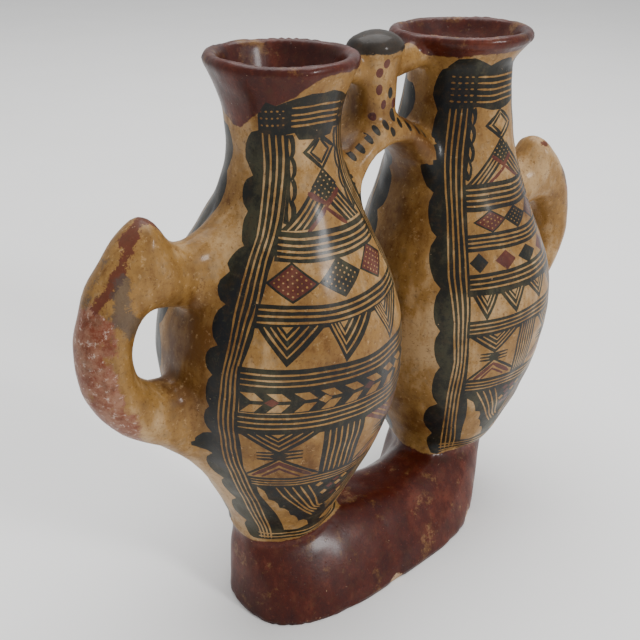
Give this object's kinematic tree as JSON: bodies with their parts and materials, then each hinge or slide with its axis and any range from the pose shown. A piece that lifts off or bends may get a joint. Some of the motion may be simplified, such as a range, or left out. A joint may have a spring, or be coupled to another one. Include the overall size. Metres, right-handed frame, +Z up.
{
  "type": "double-chamber vessel",
  "caption": "Twin painted earthenware jars on a shared foot, joined by an arched bridge with a capped post, with a peaked loop handle on each outer side.",
  "frame": {"origin": "on the underside of the foot, midway between the two jars where they stand", "axes": "+X along the row from the jar called left to the one called right, +Z up through the mouths, the painted front faces -Y"},
  "size_m": [0.2866, 0.1031, 0.2419],
  "materials": {
    "painted_clay": "burnished slip with a worn gloss, painted in black and wine red over ochre"
  },
  "bodies": {
    "root": {"twin_vessel": "painted_clay"}
  },
  "joints": []
}
